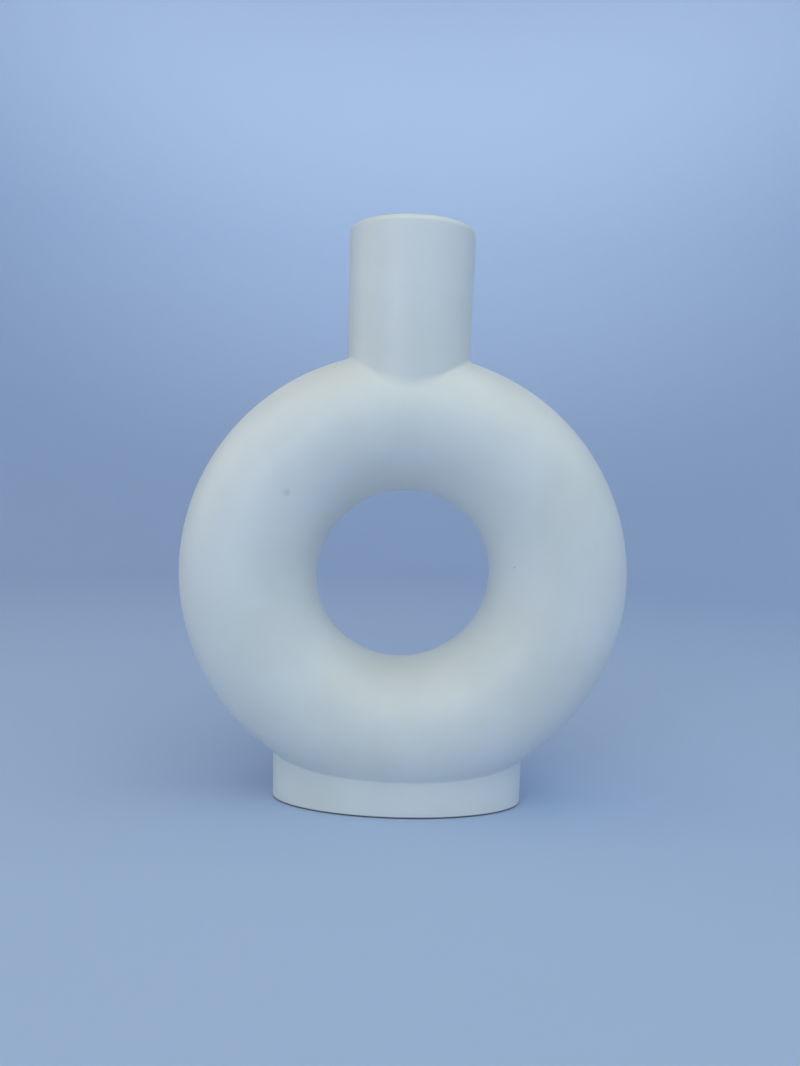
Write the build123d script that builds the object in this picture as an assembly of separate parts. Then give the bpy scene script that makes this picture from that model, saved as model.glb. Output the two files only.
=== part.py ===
from build123d import *
import os

# A donut vase: a hollow ring of round tube that stands on edge, with a round neck on its crown and a
# low oval foot ring under it. It is luted together from clay pieces, with slip in every joint.
# Frame: +Z up, the face of the ring towards -Y, the origin on the table in the middle of the foot.

# Ring, in millimetres
RING_OUTER_DIAMETER = 157.0
TUBE_DIAMETER = 48.4
RING_WALL = 4.5
RING_LIFT = 2.5  # the lowest point of the ring above the table

# Neck
NECK_SHOULDER = 3.5  # how far the neck stands back from the front and the back of the tube
NECK_FLARE = 1.6  # how much wider the mouth is than the root
NECK_WALL = 4.5
NECK_HEIGHT = 40.5  # from the crown of the ring to the top of the lip
NECK_FILLET = 2.0

# Foot ring
FOOT_LENGTH = 89.0
FOOT_SETBACK = 5.3  # how far the foot stands back from the front and the back of the tube
FOOT_WALL = 6.0
FOOT_EDGE_ROUND = 1.0
FOOT_FILLET = 1.5

# Slip, the liquid clay that bonds the pieces
SLIP_THICKNESS = 0.8
SLIP_BITE = 0.05  # how deep the smoothed slip keys into the scored clay beside a joint

TUBE_RADIUS = TUBE_DIAMETER / 2
SEAT_RADIUS = TUBE_RADIUS + SLIP_THICKNESS
CENTRELINE_RADIUS = RING_OUTER_DIAMETER / 2 - TUBE_RADIUS
RING_CENTRE_Z = RING_LIFT + RING_OUTER_DIAMETER / 2
LIP_RADIUS = NECK_WALL / 2  # the lip is a full round
LIP_TOP_Z = RING_CENTRE_Z + RING_OUTER_DIAMETER / 2 + NECK_HEIGHT
LIP_CENTRE_Z = LIP_TOP_Z - LIP_RADIUS
NECK_ROOT_Z = RING_CENTRE_Z + CENTRELINE_RADIUS  # the neck is drawn down to the tube's centreline
NECK_ROOT_RADIUS = TUBE_RADIUS - NECK_SHOULDER
NECK_MOUTH_RADIUS = NECK_ROOT_RADIUS + NECK_FLARE / 2
FOOT_BLANK_HEIGHT = RING_CENTRE_Z - CENTRELINE_RADIUS  # the foot is drawn up to the tube's centreline
FOOT_HALF_LENGTH = FOOT_LENGTH / 2
FOOT_HALF_DEPTH = TUBE_RADIUS - FOOT_SETBACK


def ring_tube(section_radius):
    """The ring as a solid bar of round section, standing on edge."""
    return Pos(0, 0, RING_CENTRE_Z) * Rot(X=90) * Torus(CENTRELINE_RADIUS, section_radius)


def neck_cone(inset):
    """The flared cone inside the neck's outer face by an inset, from the root to the lip's centre."""
    cone = Cone(
        NECK_ROOT_RADIUS - inset,
        NECK_MOUTH_RADIUS - inset,
        LIP_CENTRE_Z - NECK_ROOT_Z,
        align=(Align.CENTER, Align.CENTER, Align.MIN),
    )
    return Pos(0, 0, NECK_ROOT_Z) * cone


def foot_oval(inset):
    """The upright oval block inside the foot's outer face by an inset, from the table into the tube."""
    return extrude(Ellipse(FOOT_HALF_LENGTH - inset, FOOT_HALF_DEPTH - inset), FOOT_BLANK_HEIGHT)


def joint_slip(blank, wall, fillet_radius):
    """The slip between the ring and a piece that stands on it.

    It is a bed that follows the saddle of the piece, and a fillet smoothed into the crease round it.

    Args:
        blank: Gives the piece's solid form inside its outer face by an inset.
        wall: The piece's wall thickness.
        fillet_radius: The radius of the smoothed crease.

    Returns:
        The slip as one solid.
    """
    keyed_ring = ring_tube(TUBE_RADIUS - SLIP_BITE)
    keyed_blank = blank(SLIP_BITE)
    joined = keyed_ring + keyed_blank
    crease = new_edges(keyed_ring, keyed_blank, combined=joined)
    smoothed = fillet(crease, fillet_radius)
    bed_and_fillet = smoothed - ring_tube(TUBE_RADIUS) - blank(wall)
    seated_wall = blank(0) - blank(wall) - ring_tube(SEAT_RADIUS)
    return bed_and_fillet - seated_wall


def make_ring():
    """The hollow ring, parted in its middle plane, with the neck's hole through its crown.

    Returns:
        The front half, the back half and the slip of the seam between them.
    """
    shell = ring_tube(TUBE_RADIUS) - ring_tube(TUBE_RADIUS - RING_WALL) - neck_cone(NECK_WALL)
    front_rim = Plane.XZ.offset(SLIP_THICKNESS / 2)
    back_rim = Plane.XZ.offset(-SLIP_THICKNESS / 2)
    front = split(shell, bisect_by=front_rim, keep=Keep.TOP)
    back = split(shell, bisect_by=back_rim, keep=Keep.BOTTOM)
    seam_gap = Box(RING_OUTER_DIAMETER, SLIP_THICKNESS, RING_OUTER_DIAMETER)
    return front, back, shell & Pos(0, 0, RING_CENTRE_Z) * seam_gap


def make_neck():
    """The neck, turned from its wall's profile with a full round lip and cut to a saddle below."""
    root = (NECK_ROOT_RADIUS, NECK_ROOT_Z)
    inner_root = (NECK_ROOT_RADIUS - NECK_WALL, NECK_ROOT_Z)
    lip_outside = (NECK_MOUTH_RADIUS, LIP_CENTRE_Z)
    lip_inside = (NECK_MOUTH_RADIUS - NECK_WALL, LIP_CENTRE_Z)
    lip_top = (NECK_MOUTH_RADIUS - LIP_RADIUS, LIP_TOP_Z)
    wall = Polyline(lip_inside, inner_root, root, lip_outside)
    lip = ThreePointArc(lip_outside, lip_top, lip_inside)
    profile = Plane.XZ * make_face(wall + lip)
    return revolve(profile, Axis.Z) - ring_tube(SEAT_RADIUS)


def make_foot():
    """The oval foot ring, rounded where it rests and cut to a saddle above."""
    collar = foot_oval(0) - foot_oval(FOOT_WALL)
    resting_face = collar.faces().sort_by(Axis.Z)[0]
    return fillet(resting_face.edges(), FOOT_EDGE_ROUND) - ring_tube(SEAT_RADIUS)


ring_front_half, ring_back_half, ring_seam_slip = make_ring()
neck = make_neck()
neck_joint_slip = joint_slip(neck_cone, NECK_WALL, NECK_FILLET)
foot_ring = make_foot()
foot_joint_slip = joint_slip(foot_oval, FOOT_WALL, FOOT_FILLET)

os.makedirs("parts", exist_ok=True)
export_step(ring_front_half, "parts/ring_front_half.step")
export_step(ring_back_half, "parts/ring_back_half.step")
export_step(ring_seam_slip, "parts/ring_seam_slip.step")
export_step(neck, "parts/neck.step")
export_step(neck_joint_slip, "parts/neck_joint_slip.step")
export_step(foot_ring, "parts/foot_ring.step")
export_step(foot_joint_slip, "parts/foot_joint_slip.step")
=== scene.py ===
"""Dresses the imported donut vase: a matte white ceramic ring on an oval foot, with a neck on its crown."""

import logging
import math
from dataclasses import dataclass
from enum import Enum
from typing import Any

import bpy
import numpy as np
from mathutils import Matrix, Vector


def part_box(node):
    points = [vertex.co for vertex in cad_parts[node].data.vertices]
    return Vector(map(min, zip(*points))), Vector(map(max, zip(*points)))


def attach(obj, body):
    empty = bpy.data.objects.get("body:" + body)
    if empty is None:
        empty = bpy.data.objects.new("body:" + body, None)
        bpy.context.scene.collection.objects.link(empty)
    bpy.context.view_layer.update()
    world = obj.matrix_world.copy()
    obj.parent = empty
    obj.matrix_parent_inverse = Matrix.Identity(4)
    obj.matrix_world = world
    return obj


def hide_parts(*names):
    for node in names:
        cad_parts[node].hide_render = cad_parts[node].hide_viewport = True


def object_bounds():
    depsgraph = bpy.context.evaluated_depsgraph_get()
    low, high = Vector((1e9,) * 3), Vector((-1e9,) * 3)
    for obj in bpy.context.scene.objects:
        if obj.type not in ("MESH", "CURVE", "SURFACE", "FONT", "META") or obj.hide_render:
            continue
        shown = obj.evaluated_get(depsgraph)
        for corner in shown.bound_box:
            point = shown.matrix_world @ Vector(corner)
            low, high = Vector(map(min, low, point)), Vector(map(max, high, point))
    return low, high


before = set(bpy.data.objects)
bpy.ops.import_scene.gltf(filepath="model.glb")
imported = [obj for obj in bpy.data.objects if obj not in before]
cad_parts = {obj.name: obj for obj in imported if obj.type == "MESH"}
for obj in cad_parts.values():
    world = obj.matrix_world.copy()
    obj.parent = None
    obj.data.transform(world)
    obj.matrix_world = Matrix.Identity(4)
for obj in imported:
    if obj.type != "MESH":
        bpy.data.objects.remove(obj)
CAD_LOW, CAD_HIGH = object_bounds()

LOG = logging.getLogger("donut_vase")
MM = 0.001
BODY = "root"
IMAGE_HEIGHT_PX = 1066
SHARP_ANGLE = math.radians(35)
MIX_FACTOR, MIX_FIRST, MIX_SECOND = 0, 6, 7  # the sockets of a Mix node that mixes colours

NECK_WALL = 4.5 * MM
NECK_FLARE = 0.8 * MM  # how much the neck's radius grows from its root to its mouth
NECK_SIDE_FILLET = 1.6 * MM
NECK_FRONT_FILLET = 11.0 * MM
FOOT_WALL = 6.0 * MM
FOOT_EDGE_ROUND = 0.8 * MM
FOOT_FILLET = 1.5 * MM


class Slot(Enum):
    """The record's material slots."""

    GLAZE = "matte_white_glaze"
    SLIP = "fired_slip"


class Half(Enum):
    """The turn about the upright axis that puts each half of the ring in place."""

    FRONT = math.pi
    BACK = 0.0


class Stands(Enum):
    """Whether a piece stands on the crown of the ring or carries it from below."""

    ABOVE = 1.0
    BELOW = -1.0


def linear(hex_colour: str) -> tuple[float, float, float, float]:
    """Turns an sRGB hex colour to linear light.

    Args:
        hex_colour: The colour as "#RRGGBB".

    Returns:
        Linear red, green, blue and an alpha of 1.
    """
    parts = [int(hex_colour[i:i + 2], 16) / 255 for i in (1, 3, 5)]
    red, green, blue = (c / 12.92 if c <= 0.04045 else ((c + 0.055) / 1.055) ** 2.4 for c in parts)
    return red, green, blue, 1.0


def add_node(tree: bpy.types.NodeTree, kind: str, inputs: dict[str | int, Any] | None = None,
             **settings: Any) -> bpy.types.Node:
    """Adds one node with its settings, and sets or links its inputs.

    Args:
        tree: The tree that gets the node.
        kind: Blender's name of the node's type.
        inputs: Socket name or number to a value, a socket, a node that links by its first live output,
            or a list of those to link.
        **settings: Properties of the node, set before its inputs.

    Returns:
        The new node.
    """
    node = tree.nodes.new(kind)
    for name, value in settings.items():
        setattr(node, name, value)
    for key, value in (inputs or {}).items():
        for source in value if isinstance(value, list) else [value]:
            if isinstance(source, bpy.types.Node):
                source = next(socket for socket in source.outputs if socket.enabled)
            if isinstance(source, bpy.types.NodeSocket):
                tree.links.new(source, node.inputs[key])
            else:
                node.inputs[key].default_value = source
    return node


def start_material(name: str) -> tuple[bpy.types.Material, bpy.types.NodeTree, bpy.types.NodeSocket]:
    """Starts a node material with nothing in it but its coordinates.

    Args:
        name: The material's name.

    Returns:
        The material, its tree, and the Object coordinates in it.
    """
    material = bpy.data.materials.new(name)
    material.use_nodes = True
    tree = material.node_tree
    tree.nodes.clear()
    return material, tree, add_node(tree, "ShaderNodeTexCoord").outputs["Object"]


def smooth_mesh(mesh: bpy.types.Mesh) -> None:
    """Shades a mesh smooth and keeps its real corners crisp."""
    mesh.shade_smooth()
    mesh.set_sharp_from_angle(angle=SHARP_ANGLE)


def place_piece(piece: bpy.types.Object, node: str) -> None:
    """Lets a finished piece stand for its CAD node, and reports it.

    Args:
        piece: The finished piece, at the origin.
        node: The CAD node that it replaces.
    """
    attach(piece, BODY)
    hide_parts(node)
    LOG.info("%s stands for %s, %d faces", piece.name, node, len(piece.data.polygons))


def skin_sections(name: str, sections: np.ndarray, material: bpy.types.Material) -> bpy.types.Object:
    """Skins closed sections that stand round a closed path.

    Args:
        name: The piece's name.
        sections: Points as path step, section step, xyz, in metres.
        material: The finish.

    Returns:
        The piece, a closed mesh with its faces outwards.
    """
    steps, points, _ = sections.shape
    index = np.arange(steps * points).reshape(steps, points)
    after = np.roll(index, -1, axis=0)
    quads = np.stack([index, after, np.roll(after, -1, axis=1), np.roll(index, -1, axis=1)], axis=-1)
    corners = sections.reshape(-1, 3)
    faces = quads.reshape(-1, 4)
    a, b, c, d = (corners[faces[:, i]] for i in range(4))
    volume = np.einsum("ij,ij->i", (a + b + c + d) / 4, np.cross(c - a, d - b)).sum()
    if volume < 0:
        faces = faces[:, ::-1]
    mesh = bpy.data.meshes.new(name)
    mesh.from_pydata(corners.tolist(), [], faces.tolist())
    mesh.materials.append(material)
    smooth_mesh(mesh)
    piece = bpy.data.objects.new(name, mesh)
    bpy.context.scene.collection.objects.link(piece)
    return piece


@dataclass(frozen=True)
class Scuff:
    """A small mark that handling or firing left on the glaze."""

    place_mm: tuple[float, float, float]
    radius_mm: float
    strength: float
    colour: str


@dataclass(frozen=True)
class WhiteGlaze:
    """Satin matte white glaze, sprayed on white earthenware and fired.

    To the eye it is a soft, even, faintly warm white with an eggshell surface: broad clouds where the coat
    is a little thicker, a weak soft sheen, a few iron specks, a warmer tone on the lip that is painted light
    from above, and a near-black line along the foot's bottom edge that is painted contact shadow.
    """

    name: str = "matte_white_glaze"
    thick_coat: str = "#ECECEA"
    # the thin coat's tone, also painted on the lip as warm light from above
    thin_coat_and_lip_light: str = "#E4E4DF"
    # painted contact shadow: the near-black line where the foot meets the floor
    contact_shadow: str = "#28333E"
    iron_speck: str = "#8C8275"
    roughness: float = 0.37
    roughness_spread: float = 0.03
    ior: float = 1.5
    cloud_mm: float = 38.0
    cloud_range: tuple[float, float] = (0.35, 0.65)  # the noise that runs from the thin coat to the thick
    sheen_mm: float = 9.0
    sheen_range: tuple[float, float] = (0.3, 0.7)  # the noise that runs from the smoothest to the roughest
    eggshell_mm: float = 1.1  # the real grain is about 0.3 mm, drawn coarser so that it shows
    eggshell_depth_mm: float = 0.003
    speck_spacing_mm: float = 15.0
    speck_radius_mm: float = 0.3
    speck_strength: float = 0.55
    # how high up the foot the painted contact shadow reaches
    contact_shadow_height_mm: float = 0.8
    mark_core: float = 0.4  # the share of a speck or of the painted contact shadow under the foot that has its full strength
    # how far down from the lip's top the painted warm light reaches
    lip_light_mm: float = 1.6
    scuffs: tuple[Scuff, ...] = (
        Scuff((-38.4, -23.4, 110.1), 1.9, 0.2, "#6F7678"),
        Scuff((37.1, -16.9, 87.1), 0.5, 0.45, "#5E6468"),
        Scuff((-24.6, -11.4, 151.6), 0.5, 0.45, "#7A7468"),
        Scuff((-8.5, -21.1, 145.1), 0.6, 0.1, "#6F7678"),
    )

    def build(self) -> bpy.types.Material:
        """Builds the material.

        Returns:
            The finished material, on Object coordinates.
        """
        material, tree, place = start_material(self.name)
        sheen = add_node(tree, "ShaderNodeTexNoise", {
            "Vector": place, "Scale": 1 / (self.sheen_mm * MM), "Detail": 2.0})
        roughness = add_node(tree, "ShaderNodeMapRange", {
            "Value": sheen, "From Min": self.sheen_range[0], "From Max": self.sheen_range[1],
            "To Min": self.roughness - self.roughness_spread,
            "To Max": self.roughness + self.roughness_spread})
        grain = add_node(tree, "ShaderNodeTexNoise", {
            "Vector": place, "Scale": 1 / (self.eggshell_mm * MM), "Detail": 3.0, "Roughness": 0.55})
        bump = add_node(tree, "ShaderNodeBump", {
            "Strength": 1.0, "Distance": self.eggshell_depth_mm * MM, "Height": grain})
        shader = add_node(tree, "ShaderNodeBsdfPrincipled", {
            "Base Color": self._coat_colour(tree, place), "Roughness": roughness, "IOR": self.ior,
            "Normal": bump})
        add_node(tree, "ShaderNodeOutputMaterial", {"Surface": shader})
        return material

    def _coat_colour(self, tree: bpy.types.NodeTree, place: bpy.types.NodeSocket) -> bpy.types.Node:
        """Mixes the coat's clouds, specks, scuffs, painted lip light and painted shadow at the foot.

        Args:
            tree: The material's tree.
            place: The Object coordinates.

        Returns:
            The node that gives the colour.
        """
        clouds = add_node(tree, "ShaderNodeTexNoise", {
            "Vector": place, "Scale": 1 / (self.cloud_mm * MM), "Detail": 3.0, "Roughness": 0.5})
        thickness = add_node(tree, "ShaderNodeMapRange", {
            "Value": clouds, "From Min": self.cloud_range[0], "From Max": self.cloud_range[1]})
        coat = add_node(tree, "ShaderNodeMix", {
            MIX_FACTOR: thickness, MIX_FIRST: linear(self.thin_coat_and_lip_light), MIX_SECOND: linear(self.thick_coat)},
            data_type="RGBA")
        height = add_node(tree, "ShaderNodeSeparateXYZ", {"Vector": place}).outputs["Z"]
        lip_top, shadow_top = CAD_HIGH[2], self.contact_shadow_height_mm * MM
        # painted warm light from above on the lip, strongest at its top
        lip = add_node(tree, "ShaderNodeMapRange", {
            "Value": height, "From Min": lip_top - self.lip_light_mm * MM, "From Max": lip_top})
        # painted contact shadow, full at the foot's bottom edge and gone at its top height
        contact_shade = add_node(tree, "ShaderNodeMapRange", {
            "Value": height, "From Min": shadow_top * self.mark_core, "From Max": shadow_top,
            "To Min": 1.0, "To Max": 0.0})
        cells = add_node(tree, "ShaderNodeTexVoronoi", {
            "Vector": place, "Scale": 1 / (self.speck_spacing_mm * MM), "Randomness": 1.0})
        reach = self.speck_radius_mm / self.speck_spacing_mm
        specks = add_node(tree, "ShaderNodeMapRange", {
            "Value": cells, "From Min": reach * self.mark_core, "From Max": reach,
            "To Min": self.speck_strength, "To Max": 0.0})
        layers = [(lip, self.thin_coat_and_lip_light), (specks, self.iron_speck)]
        for scuff in self.scuffs:
            centre = tuple(c * MM for c in scuff.place_mm)
            away = add_node(tree, "ShaderNodeVectorMath", {0: place, 1: centre}, operation="DISTANCE")
            layers.append((add_node(tree, "ShaderNodeMapRange", {
                "Value": away, "From Min": 0.0, "From Max": scuff.radius_mm * MM, "To Min": scuff.strength,
                "To Max": 0.0}, interpolation_type="SMOOTHSTEP"), scuff.colour))
        # the painted contact shadow goes on last, over everything
        layers.append((contact_shade, self.contact_shadow))
        for cover, tone in layers:
            coat = add_node(tree, "ShaderNodeMix", {
                MIX_FACTOR: cover, MIX_FIRST: coat, MIX_SECOND: linear(tone)}, data_type="RGBA")
        return coat


class ShapeTree:
    """A Geometry Nodes tree with named size inputs, used once to make a plain mesh."""

    def __init__(self, name: str, sizes: dict[str, float | int | tuple]) -> None:
        """Starts the tree with its inputs.

        Args:
            name: The tree's name.
            sizes: Input name to value. A whole number makes an integer input, three numbers a vector.
        """
        self.tree = bpy.data.node_groups.new(name, "GeometryNodeTree")
        self.tree.interface.new_socket("Geometry", in_out="OUTPUT", socket_type="NodeSocketGeometry")
        self.values: dict[str, float | int | tuple] = {}
        kinds = {int: "NodeSocketInt", float: "NodeSocketFloat", tuple: "NodeSocketVector"}
        for label, value in sizes.items():
            item = self.tree.interface.new_socket(label, in_out="INPUT", socket_type=kinds[type(value)])
            self.values[item.identifier] = value
        self.sizes = add_node(self.tree, "NodeGroupInput").outputs

    def make(self, name: str, shape: bpy.types.Node, material: bpy.types.Material) -> bpy.types.Object:
        """Ends the tree, runs it and keeps the result as a plain mesh.

        Args:
            name: The piece's name.
            shape: The node that gives the geometry to finish.
            material: The finish.

        Returns:
            The piece, with no modifier left on it.
        """
        settled = add_node(self.tree, "GeometryNodeRealizeInstances", {"Geometry": shape})
        coated = add_node(self.tree, "GeometryNodeSetMaterial", {"Geometry": settled, "Material": material})
        add_node(self.tree, "NodeGroupOutput", {0: coated})
        piece = bpy.data.objects.new(name, bpy.data.meshes.new(name))
        bpy.context.scene.collection.objects.link(piece)
        modifier = piece.modifiers.new("shape", "NODES")
        modifier.node_group = self.tree
        for identifier, value in self.values.items():
            modifier[identifier] = value
        depsgraph = bpy.context.evaluated_depsgraph_get()
        mesh = bpy.data.meshes.new_from_object(piece.evaluated_get(depsgraph), depsgraph=depsgraph)
        piece.modifiers.remove(modifier)
        piece.data = mesh
        mesh.name = name
        smooth_mesh(mesh)
        return piece


@dataclass(frozen=True)
class Swell:
    """How far a ring built by hand departs from true, as slow waves round it."""

    even: float  # the same all round
    upward: float  # most at the crown, and as much less at the underside
    oval: float  # more at both sides, less at the crown and the underside
    slant: float  # more at the upper right and the lower left, less between them

    def at(self, x: np.ndarray, z: np.ndarray) -> np.ndarray:
        """The swell along the spokes of the ring whose unit directions are x across and z up."""
        return self.even + self.upward * z + self.oval * (x * x - z * z) + self.slant * 2 * x * z

    def waves(self) -> tuple[float, float, float]:
        """The swell without its even part, as one vector."""
        return self.upward, self.oval, self.slant


@dataclass
class HollowRing:
    """The hollow ring: two half shells of clay, and the slip of the seam between them."""

    centreline_radius: float
    section_radius: float
    centre_height: float
    seam_width: float
    bore_root_radius: float
    bore_mouth_radius: float
    bore_top: float
    wall: float = 4.5 * MM
    seam_pride: float = 0.03 * MM
    seam_round: float = 0.15 * MM
    line_swell: Swell = Swell(-0.3 * MM, 0.29 * MM, 0.365 * MM, 0.228 * MM)  # of the tube's middle line
    tube_swell: Swell = Swell(-0.235 * MM, -0.224 * MM, 0.116 * MM, -0.317 * MM)  # of the tube's radius
    unevenness: float = 0.14 * MM
    unevenness_length: float = 70 * MM
    joint_margin: float = 24 * MM  # how near the crown or the underside the clay is left true for a joint
    joint_fade: float = 5 * MM
    steps_round: int = 320
    steps_across: int = 64
    bore_steps: int = 160
    settling_steps: int = 4  # a swell moves the line that it is read at, so that is found in a few rounds
    seed: float = 7.0

    @classmethod
    def from_frame(cls, neck_wall: float, neck_flare: float) -> "HollowRing":
        """Takes the ring's sizes from the CAD nodes.

        Args:
            neck_wall: The neck's wall thickness, which sets the hole under it.
            neck_flare: How much the neck's radius grows from its root to its mouth.

        Returns:
            The ring.
        """
        low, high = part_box("ring_front_half")
        neck_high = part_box("neck")[1]
        section = -low.y
        mouth = neck_high.x - neck_wall
        return cls(
            centreline_radius=high.x - section,
            section_radius=section,
            centre_height=low.z + high.x,
            seam_width=-2 * high.y,
            bore_root_radius=mouth - neck_flare,
            bore_mouth_radius=mouth,
            bore_top=neck_high.z,
        )

    def skin_and_core(self, plan: np.ndarray, section_radius: np.ndarray | float,
                      side: Stands) -> tuple[np.ndarray, np.ndarray]:
        """Finds the ring's skin over or under points of the plan, and the tube's middle inside it.

        Args:
            plan: Places as x across the ring and y through it.
            section_radius: The radius of the tube's section that is meant, before its swell.
            side: The top of the ring or its underside.

        Returns:
            Points on the skin, and the middle of the tube's section at each, both as xyz.
        """
        x, y = plan[:, 0], plan[:, 1]
        line, tube = self.line_swell.even, self.tube_swell.even
        for _ in range(self.settling_steps):
            reach = self.centreline_radius + line + np.sqrt((section_radius + tube) ** 2 - y ** 2)
            rise = side.value * np.sqrt(reach ** 2 - x ** 2)
            line, tube = (swell.at(x / reach, rise / reach) for swell in (self.line_swell, self.tube_swell))
        skin = np.column_stack([x, y, self.centre_height + rise])
        share = (self.centreline_radius + line) / reach
        core = np.column_stack([x * share, 0 * y, self.centre_height + rise * share])
        return skin, core

    def build(self, glaze: bpy.types.Material, slip: bpy.types.Material) -> None:
        """Makes both halves and the seam, and puts them in place.

        Args:
            glaze: The finish of the clay.
            slip: The finish of the seam.
        """
        for half in Half:
            name = f"ring_{half.name.lower()}_half"
            place_piece(self.make_half(f"{name}_glazed", half, glaze), name)
        place_piece(self.make_seam("ring_seam_glazed", slip), "ring_seam_slip")

    def make_half(self, name: str, half: Half, glaze: bpy.types.Material) -> bpy.types.Object:
        """Sweeps the C-shaped section of one half round the ring.

        Args:
            name: The piece's name.
            half: The front or the back.
            glaze: The finish.

        Returns:
            The half shell with its part of the neck's hole.
        """
        shape = self._tree(f"{name}_shape", half.value)
        tree, sizes = shape.tree, shape.sizes
        rim = add_node(tree, "ShaderNodeMath", {0: sizes["Seam Width"], 1: 2.0}, operation="DIVIDE")
        inner = add_node(tree, "ShaderNodeMath", {
            0: sizes["Section Radius"], 1: sizes["Wall"]}, operation="SUBTRACT")
        arcs = []
        for radius in (sizes["Section Radius"], inner):
            sine = add_node(tree, "ShaderNodeMath", {0: rim, 1: radius}, operation="DIVIDE")
            start = add_node(tree, "ShaderNodeMath", {0: sine}, operation="ARCSINE")
            sweep = add_node(tree, "ShaderNodeMath", {
                0: start, 1: -2.0, 2: math.pi}, operation="MULTIPLY_ADD")
            arcs.append(add_node(tree, "GeometryNodeCurveArc", {
                "Resolution": sizes["Steps Across"], "Radius": radius, "Start Angle": start,
                "Sweep Angle": sweep}, mode="RADIUS"))
        back = add_node(tree, "GeometryNodeReverseCurve", {"Curve": arcs[1]})
        both = add_node(tree, "GeometryNodeJoinGeometry", {"Geometry": [arcs[0], back]})
        points = add_node(tree, "GeometryNodeCurveToPoints", {"Curve": both}, mode="EVALUATED")
        outline = add_node(tree, "GeometryNodePointsToCurves", {"Points": points})
        section = add_node(tree, "GeometryNodeSetSplineCyclic", {"Geometry": outline, "Cyclic": True})
        swept = self._sweep(shape, sizes["Centreline Radius"], section)
        return shape.make(name, self._finish_form(shape, swept), glaze)

    def make_seam(self, name: str, slip: bpy.types.Material) -> bpy.types.Object:
        """Sweeps the slip of the seam round the outside of the ring and round its hole.

        Args:
            name: The piece's name.
            slip: The finish.

        Returns:
            Both lines of slip as one piece.
        """
        shape = self._tree(f"{name}_shape", Half.FRONT.value)
        tree, sizes = shape.tree, shape.sizes
        width = add_node(tree, "ShaderNodeMath", {0: sizes["Wall"], 1: sizes["Seam Pride"]}, operation="ADD")
        bar = add_node(tree, "GeometryNodeCurvePrimitiveQuadrilateral", {
            "Width": width, "Height": sizes["Seam Width"]}, mode="RECTANGLE")
        section = add_node(tree, "GeometryNodeFilletCurve", {"Curve": bar, "Radius": sizes["Seam Round"]})
        outside = add_node(tree, "ShaderNodeMath", {
            0: sizes["Section Radius"], 1: sizes["Seam Pride"]}, operation="ADD")
        middle = add_node(tree, "ShaderNodeMath", {0: width, 1: -0.5, 2: outside}, operation="MULTIPLY_ADD")
        lines = []
        for side in ("ADD", "SUBTRACT"):
            radius = add_node(tree, "ShaderNodeMath", {
                0: sizes["Centreline Radius"], 1: middle}, operation=side)
            lines.append(self._sweep(shape, radius, section))
        both = add_node(tree, "GeometryNodeJoinGeometry", {"Geometry": lines})
        return shape.make(name, self._finish_form(shape, both), slip)

    def _tree(self, name: str, turn: float) -> ShapeTree:
        """Starts a tree with the ring's sizes as its inputs."""
        return ShapeTree(name, {
            "Centreline Radius": self.centreline_radius, "Section Radius": self.section_radius,
            "Centre Height": self.centre_height, "Wall": self.wall, "Seam Width": self.seam_width,
            "Seam Pride": self.seam_pride, "Seam Round": self.seam_round, "Turn": turn,
            "Bore Root Radius": self.bore_root_radius, "Bore Mouth Radius": self.bore_mouth_radius,
            "Bore Top": self.bore_top, "Line Swell": self.line_swell.even,
            "Line Waves": self.line_swell.waves(), "Tube Swell": self.tube_swell.even,
            "Tube Waves": self.tube_swell.waves(), "Unevenness": self.unevenness,
            "Unevenness Length": self.unevenness_length, "Joint Margin": self.joint_margin,
            "Joint Fade": self.joint_fade, "Seed": self.seed, "Steps Round": self.steps_round,
            "Steps Across": self.steps_across, "Bore Steps": self.bore_steps,
        })

    @staticmethod
    def _sweep(shape: ShapeTree, radius: bpy.types.Node | bpy.types.NodeSocket,
               section: bpy.types.Node) -> bpy.types.Node:
        """Sweeps a closed section round a circle of that radius."""
        path = add_node(shape.tree, "GeometryNodeCurvePrimitiveCircle", {
            "Resolution": shape.sizes["Steps Round"], "Radius": radius}, mode="RADIUS")
        return add_node(shape.tree, "GeometryNodeCurveToMesh", {"Curve": path, "Profile Curve": section})

    def _finish_form(self, shape: ShapeTree, lying: bpy.types.Node) -> bpy.types.Node:
        """Stands a swept form on edge, shapes it by hand and bores the neck's hole."""
        shaped = self._shape_by_hand(shape, self._stand_up(shape, lying))
        return self._bore(shape, shaped)

    @staticmethod
    def _stand_up(shape: ShapeTree, lying: bpy.types.Node) -> bpy.types.Node:
        """Stands a swept form on edge, turned to its side.

        Args:
            shape: The tree to add to.
            lying: The form as it was swept, lying flat.

        Returns:
            The node that gives the standing form.
        """
        turn = add_node(shape.tree, "ShaderNodeCombineXYZ", {"X": math.pi / 2, "Z": shape.sizes["Turn"]})
        lift = add_node(shape.tree, "ShaderNodeCombineXYZ", {"Z": shape.sizes["Centre Height"]})
        return add_node(shape.tree, "GeometryNodeTransform", {
            "Geometry": lying, "Translation": lift, "Rotation": turn})

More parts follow.
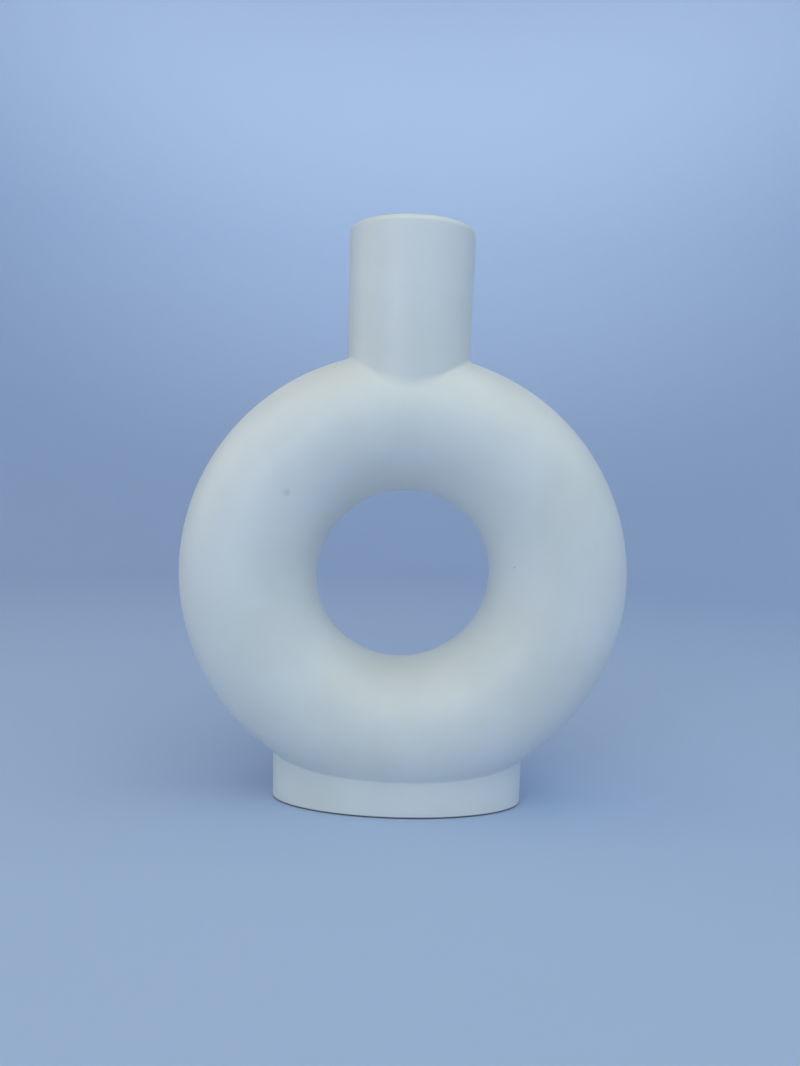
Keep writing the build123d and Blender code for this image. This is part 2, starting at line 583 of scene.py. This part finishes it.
    @staticmethod
    def _bore(shape: ShapeTree, standing: bpy.types.Node) -> bpy.types.Node:
        """Cuts the neck's hole through the crown.

        Args:
            shape: The tree to add to.
            standing: The standing ring.

        Returns:
            The node that gives the bored ring.
        """
        tree, sizes = shape.tree, shape.sizes
        root = add_node(tree, "ShaderNodeMath", {
            0: sizes["Centre Height"], 1: sizes["Centreline Radius"]}, operation="ADD")
        depth = add_node(tree, "ShaderNodeMath", {0: sizes["Bore Top"], 1: root}, operation="SUBTRACT")
        cone = add_node(tree, "GeometryNodeMeshCone", {
            "Vertices": sizes["Bore Steps"], "Radius Top": sizes["Bore Mouth Radius"],
            "Radius Bottom": sizes["Bore Root Radius"], "Depth": depth}, fill_type="NGON")
        raised = add_node(tree, "ShaderNodeCombineXYZ", {"Z": root})
        bore = add_node(tree, "GeometryNodeTransform", {"Geometry": cone, "Translation": raised})
        return add_node(tree, "GeometryNodeMeshBoolean", {
            "Mesh 1": standing, "Mesh 2": bore}, operation="DIFFERENCE", solver="EXACT")

    @staticmethod
    def _unevenness(shape: ShapeTree, place: bpy.types.Node) -> bpy.types.Node:
        """Works out how far hand finishing moved the skin.

        It fades out at the joints, so that the neck and the foot sit close.

        Args:
            shape: The tree to add to.
            place: The node that gives each point's place.

        Returns:
            The node that gives the distance outwards.
        """
        tree, sizes = shape.tree, shape.sizes
        frequency = add_node(tree, "ShaderNodeMath", {
            0: 1.0, 1: sizes["Unevenness Length"]}, operation="DIVIDE")
        noise = add_node(tree, "ShaderNodeTexNoise", {
            "Vector": place, "W": sizes["Seed"], "Scale": frequency, "Detail": 1.0}, noise_dimensions="4D")
        swing = add_node(tree, "ShaderNodeMapRange", {
            "Value": noise, "To Min": -1.0, "To Max": 1.0}, clamp=False)
        push = add_node(tree, "ShaderNodeMath", {0: swing, 1: sizes["Unevenness"]}, operation="MULTIPLY")
        height = add_node(tree, "ShaderNodeSeparateXYZ", {"Vector": place}).outputs["Z"]
        off_centre = add_node(tree, "ShaderNodeMath", {
            0: height, 1: sizes["Centre Height"]}, operation="SUBTRACT")
        to_middle = add_node(tree, "ShaderNodeMath", {0: off_centre}, operation="ABSOLUTE")
        edge = add_node(tree, "ShaderNodeMath", {
            0: sizes["Centreline Radius"], 1: sizes["Section Radius"]}, operation="ADD")
        fade_start = add_node(tree, "ShaderNodeMath", {
            0: edge, 1: sizes["Joint Margin"]}, operation="SUBTRACT")
        fade_end = add_node(tree, "ShaderNodeMath", {0: fade_start, 1: sizes["Joint Fade"]}, operation="ADD")
        return add_node(tree, "ShaderNodeMapRange", {
            "Value": to_middle, "From Min": fade_start, "From Max": fade_end, "To Min": push, "To Max": 0.0},
            interpolation_type="SMOOTHSTEP")

    def _shape_by_hand(self, shape: ShapeTree, true_form: bpy.types.Node) -> bpy.types.Node:
        """Gives the ring its slow swells, and its skin the slight unevenness of hand finishing.

        Args:
            shape: The tree to add to.
            true_form: The ring as a true form of revolution.

        Returns:
            The node that gives the shaped ring.
        """
        tree, sizes = shape.tree, shape.sizes
        place = add_node(tree, "GeometryNodeInputPosition")
        centre = add_node(tree, "ShaderNodeCombineXYZ", {"Z": sizes["Centre Height"]})
        arm = add_node(tree, "ShaderNodeVectorMath", {0: place, 1: centre}, operation="SUBTRACT")
        in_plane = add_node(tree, "ShaderNodeVectorMath", {0: arm, 1: (1.0, 0.0, 1.0)}, operation="MULTIPLY")
        spoke = add_node(tree, "ShaderNodeVectorMath", {0: in_plane}, operation="NORMALIZE")
        core = add_node(tree, "ShaderNodeVectorMath", {
            0: spoke, "Scale": sizes["Centreline Radius"]}, operation="SCALE")
        from_core = add_node(tree, "ShaderNodeVectorMath", {0: arm, 1: core}, operation="SUBTRACT")
        outward = add_node(tree, "ShaderNodeVectorMath", {0: from_core}, operation="NORMALIZE")
        uneven = self._unevenness(shape, place)
        # the waves of Swell.at: z, then x * x - z * z as a product of sum and difference, then 2 * x * z
        axes = add_node(tree, "ShaderNodeSeparateXYZ", {"Vector": spoke}).outputs
        total = add_node(tree, "ShaderNodeMath", {0: axes["X"], 1: axes["Z"]}, operation="ADD")
        difference = add_node(tree, "ShaderNodeMath", {0: axes["X"], 1: axes["Z"]}, operation="SUBTRACT")
        oval = add_node(tree, "ShaderNodeMath", {0: total, 1: difference}, operation="MULTIPLY")
        product = add_node(tree, "ShaderNodeMath", {0: axes["X"], 1: axes["Z"]}, operation="MULTIPLY")
        slant = add_node(tree, "ShaderNodeMath", {0: product, 1: 2.0}, operation="MULTIPLY")
        waves_here = add_node(tree, "ShaderNodeCombineXYZ", {"X": axes["Z"], "Y": oval, "Z": slant})
        moves = []
        for part, way, extra in (("Line", spoke, 0.0), ("Tube", outward, uneven)):
            wave = add_node(tree, "ShaderNodeVectorMath", {
                0: waves_here, 1: sizes[f"{part} Waves"]}, operation="DOT_PRODUCT").outputs["Value"]
            swelled = add_node(tree, "ShaderNodeMath", {0: wave, 1: sizes[f"{part} Swell"]}, operation="ADD")
            reach = add_node(tree, "ShaderNodeMath", {0: swelled, 1: extra}, operation="ADD")
            moves.append(add_node(tree, "ShaderNodeVectorMath", {0: way, "Scale": reach}, operation="SCALE"))
        offset = add_node(tree, "ShaderNodeVectorMath", {0: moves[0], 1: moves[1]}, operation="ADD")
        return add_node(tree, "GeometryNodeSetPosition", {"Geometry": true_form, "Offset": offset})


@dataclass
class StandingCollar:
    """An upright oval collar of clay, saddled to the ring, with the slip of its joint."""

    ring: HollowRing
    side: Stands
    half_length: float
    half_depth: float
    wall: float
    free_end: float
    edge_round: float
    slip_thickness: float
    side_fillet: float
    front_fillet: float
    fillet_ease: float = 15.0  # how long the fillet stays small before it grows to the front
    flare: float = 0.0
    steps_round: int = 256
    steps_up: int = 40
    steps_edge: int = 10
    steps_bed: int = 6
    settling_steps: int = 4  # a leaning wall moves its line on the ring, so that is found in a few rounds

    def turn(self) -> np.ndarray:
        """The steps round the oval as angles."""
        return np.linspace(0, 2 * math.pi, self.steps_round, endpoint=False)

    def row(self, inset: float, height: np.ndarray | float) -> np.ndarray:
        """One closed row of points on the collar, inside its outer face by an inset.

        Args:
            inset: How far inside the outer face.
            height: The height above the table, for the row or for each of its steps.

        Returns:
            Points as path step, xyz.
        """
        level = np.broadcast_to(height, self.steps_round)
        root = self.ring.centre_height + self.ring.centreline_radius
        spread = self.flare * (level - self.free_end) / (self.free_end - root)
        turn = self.turn()
        return np.column_stack([(self.half_length + spread - inset) * np.cos(turn),
                                (self.half_depth + spread - inset) * np.sin(turn), level])

    def on_saddle(self, inset: float, section_radius: float) -> np.ndarray:
        """The line where the collar's wall, at an inset, meets the ring's skin of a section radius.

        Args:
            inset: How far inside the outer face.
            section_radius: The radius of the tube's section that is met.

        Returns:
            Points as path step, xyz.
        """
        line = self.row(inset, self.free_end)
        for _ in range(self.settling_steps):
            skin, _ = self.ring.skin_and_core(line[:, :2], section_radius, self.side)
            line = self.row(inset, skin[:, 2])
        return line

    def free_edge(self) -> list[tuple[float, float]]:
        """Rounds the free edge, from the outer face to the inner.

        Returns:
            Pairs of the inset from the outer face and the distance from the end.
        """
        r = self.edge_round
        bend = np.linspace(0, math.pi / 2, self.steps_edge)
        outer = [(r - r * math.cos(a), r - r * math.sin(a)) for a in bend]
        inner = [(self.wall - inset, depth) for inset, depth in reversed(outer)]
        full_round = math.isclose(self.wall, 2 * r)
        return outer + (inner[1:] if full_round else inner)

    def wall_rows(self, inset: float) -> list[np.ndarray]:
        """The rows of one face of the wall, from its saddle to the start of the rounded edge.

        Args:
            inset: How far the face is inside the outer face.

        Returns:
            The rows in order.
        """
        saddle = self.on_saddle(inset, self.ring.section_radius + self.slip_thickness)[:, 2]
        end = self.free_end - self.side.value * self.edge_round
        return [self.row(inset, saddle + share * (end - saddle))
                for share in np.linspace(0, 1, self.steps_up, endpoint=False)]

    def make_collar(self, name: str, glaze: bpy.types.Material) -> bpy.types.Object:
        """Skins the collar from its saddle to its rounded free edge and back.

        Args:
            name: The piece's name.
            glaze: The finish.

        Returns:
            The collar.
        """
        edge = [self.row(inset, self.free_end - self.side.value * depth) for inset, depth in self.free_edge()]
        rows = self.wall_rows(0.0) + edge + self.wall_rows(self.wall)[::-1]
        return skin_sections(name, np.stack(rows, axis=1), glaze)

    def make_joint(self, name: str, slip: bpy.types.Material) -> bpy.types.Object:
        """Skins the slip of the joint: a bed under the wall and a fillet rolled into the crease.

        The fillet is the track of a ball that rolls along the crease and touches the wall and the ring. The
        ball grows from the sides to the front and the back, where the crease is open and a thumb smooths it
        more.

        Args:
            name: The piece's name.
            slip: The finish.

        Returns:
            The slip.
        """
        ring = self.ring
        seat = ring.section_radius + self.slip_thickness
        openness = np.abs(np.sin(self.turn())) ** self.fillet_ease
        ball = (self.side_fillet + (self.front_fillet - self.side_fillet) * openness)[:, None]
        on_wall = self.on_saddle(0.0, seat)
        along = (np.roll(on_wall, -1, axis=0) - np.roll(on_wall, 1, axis=0))[:, :2]
        outward = np.column_stack([along[:, 1], -along[:, 0]]) / np.linalg.norm(along, axis=1)[:, None]
        for _ in range(self.settling_steps):
            plan = on_wall[:, :2] + ball * outward
            middle, core = ring.skin_and_core(plan, ring.section_radius + ball[:, 0], self.side)
            on_wall = self.row(0.0, middle[:, 2])
        arm = middle - core
        on_ring = middle - ball * arm / np.linalg.norm(arm, axis=1)[:, None]
        first, last = (on_wall - middle) / ball, (on_ring - middle) / ball
        angle = np.arccos(np.clip((first * last).sum(axis=1), -1, 1))[:, None]
        rows = [middle + ball * (np.sin((1 - t) * angle) * first + np.sin(t * angle) * last) / np.sin(angle)
                for t in np.linspace(0, 1, self.steps_edge + 1)]
        inner = self.on_saddle(self.wall, ring.section_radius)
        shares = np.linspace(0, 1, self.steps_bed)
        for share in shares[1:-1]:
            plan = on_ring[:, :2] + share * (inner - on_ring)[:, :2]
            rows.append(ring.skin_and_core(plan, ring.section_radius, self.side)[0])
        rows.append(inner)
        rows += [self.on_saddle(self.wall * share, seat) for share in shares[::-1]]
        return skin_sections(name, np.stack(rows, axis=1), slip)


@dataclass(frozen=True)
class SoftBox:
    """One soft studio light."""

    name: str
    place: tuple[float, float, float]
    width: float
    height: float
    power: float
    colour: str
    aim: tuple[float, float, float] = (0.0, 0.0, 0.1)
    spread: float = math.pi  # how wide the light opens, narrower with a honeycomb grid on it

    def build(self) -> None:
        """Makes the light and points it at its aim."""
        lamp = bpy.data.lights.new(self.name, "AREA")
        lamp.shape = "RECTANGLE"
        lamp.size, lamp.size_y = self.width, self.height
        lamp.energy = self.power
        lamp.spread = self.spread
        lamp.color = linear(self.colour)[:3]
        light = bpy.data.objects.new(self.name, lamp)
        light.location = self.place
        direction = Vector(self.aim) - Vector(self.place)
        light.rotation_euler = direction.to_track_quat("-Z", "Y").to_euler()
        light.visible_camera = False
        bpy.context.scene.collection.objects.link(light)


@dataclass(frozen=True)
class BackdropPaper:
    """Matte backdrop paper, even to the eye, with a faint tooth."""

    name: str = "backdrop_paper"
    colour: str = "#B4C7E8"
    roughness: float = 0.9
    tooth_mm: float = 1.5
    tooth_depth_mm: float = 0.05
    tooth_strength: float = 0.3

    def build(self) -> bpy.types.Material:
        """Builds the material.

        Returns:
            The finished material, on Object coordinates.
        """
        material, tree, place = start_material(self.name)
        tooth = add_node(tree, "ShaderNodeTexNoise", {
            "Vector": place, "Scale": 1 / (self.tooth_mm * MM), "Detail": 2.0})
        bump = add_node(tree, "ShaderNodeBump", {
            "Strength": self.tooth_strength, "Distance": self.tooth_depth_mm * MM, "Height": tooth})
        shader = add_node(tree, "ShaderNodeBsdfPrincipled", {
            "Base Color": linear(self.colour), "Roughness": self.roughness, "Normal": bump})
        add_node(tree, "ShaderNodeOutputMaterial", {"Surface": shader})
        return material


@dataclass
class Studio:
    """A plain pale floor that curves up to a round backdrop, and soft lights inside it."""

    floor_radius: float = 0.6
    cove_radius: float = 0.45
    wall_top: float = 1.4
    centre_radius: float = 0.02  # the first ring of the floor, round its middle point
    cove_start: float = 0.05  # the cove's first angle, one step past the edge of the floor
    paper: BackdropPaper = BackdropPaper()
    sky: str = "#E6ECF2"
    sky_strength: float = 0.02
    steps_round: int = 96
    steps_floor: int = 12
    steps_cove: int = 24
    lights: tuple[SoftBox, ...] = (
        SoftBox("overhead_softbox", (0.0, 0.0, 1.3), 1.2, 1.2, 2.75, "#FFFDF4"),
        SoftBox("upper_left_softbox", (-0.65, -0.15, 0.95), 0.7, 0.7, 0.6, "#FFF0A8"),
        SoftBox("upper_right_softbox", (0.65, -0.15, 0.95), 0.9, 0.9, 2.0, "#EDFFF4"),
        SoftBox("front_softbox", (0.0, -0.75, 0.85), 1.4, 0.9, 4.75, "#F8FFF2"),
        SoftBox("left_softbox", (-0.95, 0.0, 0.35), 0.8, 0.8, 0.8, "#FFF8D0",
                spread=math.radians(130)),
        SoftBox("window_softbox", (-0.47, -0.90, 0.18), 0.36, 0.42, 2.4, "#FDFFEC"),
        SoftBox("backdrop_softbox", (0.0, 0.2, 0.95), 1.2, 0.25, 0.95, "#FEFFF6",
                aim=(0.0, 1.05, 0.62), spread=math.radians(64)),
    )

    def build(self) -> None:
        """Makes the backdrop, the sky over it and the lights."""
        self._make_backdrop()
        world = bpy.data.worlds.new("soft_sky")
        world.use_nodes = True
        background = world.node_tree.nodes["Background"]
        background.inputs["Color"].default_value = linear(self.sky)
        background.inputs["Strength"].default_value = self.sky_strength
        bpy.context.scene.world = world
        for light in self.lights:
            light.build()

    def _make_backdrop(self) -> None:
        """Turns the floor, its cove and the wall round the upright axis."""
        profile = [(r, 0.0) for r in np.linspace(self.centre_radius, self.floor_radius, self.steps_floor)]
        profile += [(self.floor_radius + self.cove_radius * math.sin(a), self.cove_radius * (1 - math.cos(a)))
                    for a in np.linspace(self.cove_start, math.pi / 2, self.steps_cove)]
        profile.append((self.floor_radius + self.cove_radius, self.wall_top))
        turn = np.linspace(0, 2 * math.pi, self.steps_round, endpoint=False)
        corners = [(0.0, 0.0, 0.0)]
        corners += [(r * math.cos(t), r * math.sin(t), z) for r, z in profile for t in turn]
        n = self.steps_round
        faces = [(0, 1 + i, 1 + (i + 1) % n) for i in range(n)]
        for row in range(len(profile) - 1):
            base = 1 + row * n
            faces += [(base + i, base + n + i, base + n + (i + 1) % n, base + (i + 1) % n) for i in range(n)]
        mesh = bpy.data.meshes.new("studio_floor")
        mesh.from_pydata(corners, [], faces)
        mesh.materials.append(self.paper.build())
        mesh.shade_smooth()
        floor = bpy.data.objects.new("studio_floor", mesh)
        bpy.context.scene.collection.objects.link(floor)


@dataclass(frozen=True)
class Viewpoint:
    """The camera at the photograph's viewing angle, with its turns in radians."""

    place_mm: tuple[float, float, float] = (-1.06, -301.14, 122.11)
    focal_px: float = 858.21
    sensor_mm: float = 36.0
    yaw: float = 0.001112
    pitch: float = -0.086551
    roll: float = -0.030515
    nearest: float = 0.01

    def build(self) -> None:
        """Makes the camera and gives it to the scene."""
        lens = bpy.data.cameras.new("photo_camera")
        lens.sensor_width = self.sensor_mm
        lens.lens = self.focal_px * self.sensor_mm / IMAGE_HEIGHT_PX
        lens.clip_start = self.nearest
        turned = (Matrix.Rotation(self.yaw, 3, "Z") @ Matrix.Rotation(self.pitch, 3, "X")
                  @ Matrix.Rotation(self.roll, 3, "Y"))
        right, forward, up = turned.col
        axes = Matrix((right, up, -forward)).transposed()
        camera = bpy.data.objects.new("photo_camera", lens)
        camera.matrix_world = Matrix.Translation(Vector(self.place_mm) * MM) @ axes.to_4x4()
        bpy.context.scene.collection.objects.link(camera)
        bpy.context.scene.camera = camera


def build_vase() -> None:
    """Builds and dresses every piece of the vase."""
    glaze = WhiteGlaze().build()
    slip = WhiteGlaze(name="glazed_slip").build()
    ring = HollowRing.from_frame(NECK_WALL, NECK_FLARE)
    ring.build(glaze, slip)
    neck_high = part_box("neck")[1]
    neck = StandingCollar(
        ring=ring, side=Stands.ABOVE, half_length=neck_high.x, half_depth=neck_high.x, wall=NECK_WALL,
        free_end=neck_high.z, edge_round=NECK_WALL / 2, slip_thickness=ring.seam_width,
        side_fillet=NECK_SIDE_FILLET, front_fillet=NECK_FRONT_FILLET, flare=NECK_FLARE)
    place_piece(neck.make_collar("neck_glazed", glaze), "neck")
    place_piece(neck.make_joint("neck_joint_glazed", slip), "neck_joint_slip")
    foot_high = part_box("foot_ring")[1]
    foot = StandingCollar(
        ring=ring, side=Stands.BELOW, half_length=foot_high.x, half_depth=foot_high.y, wall=FOOT_WALL,
        free_end=0.0, edge_round=FOOT_EDGE_ROUND, slip_thickness=ring.seam_width,
        side_fillet=FOOT_FILLET, front_fillet=FOOT_FILLET)
    place_piece(foot.make_collar("foot_ring_glazed", glaze), "foot_ring")
    place_piece(foot.make_joint("foot_joint_glazed", slip), "foot_joint_slip")


def main() -> None:
    """Builds the camera, the studio and the vase in order."""
    logging.basicConfig(level=logging.INFO, format="%(message)s")
    bpy.context.scene.view_settings.view_transform = "Standard"
    Viewpoint().build()
    Studio().build()
    build_vase()


if __name__ == "__main__":
    main()
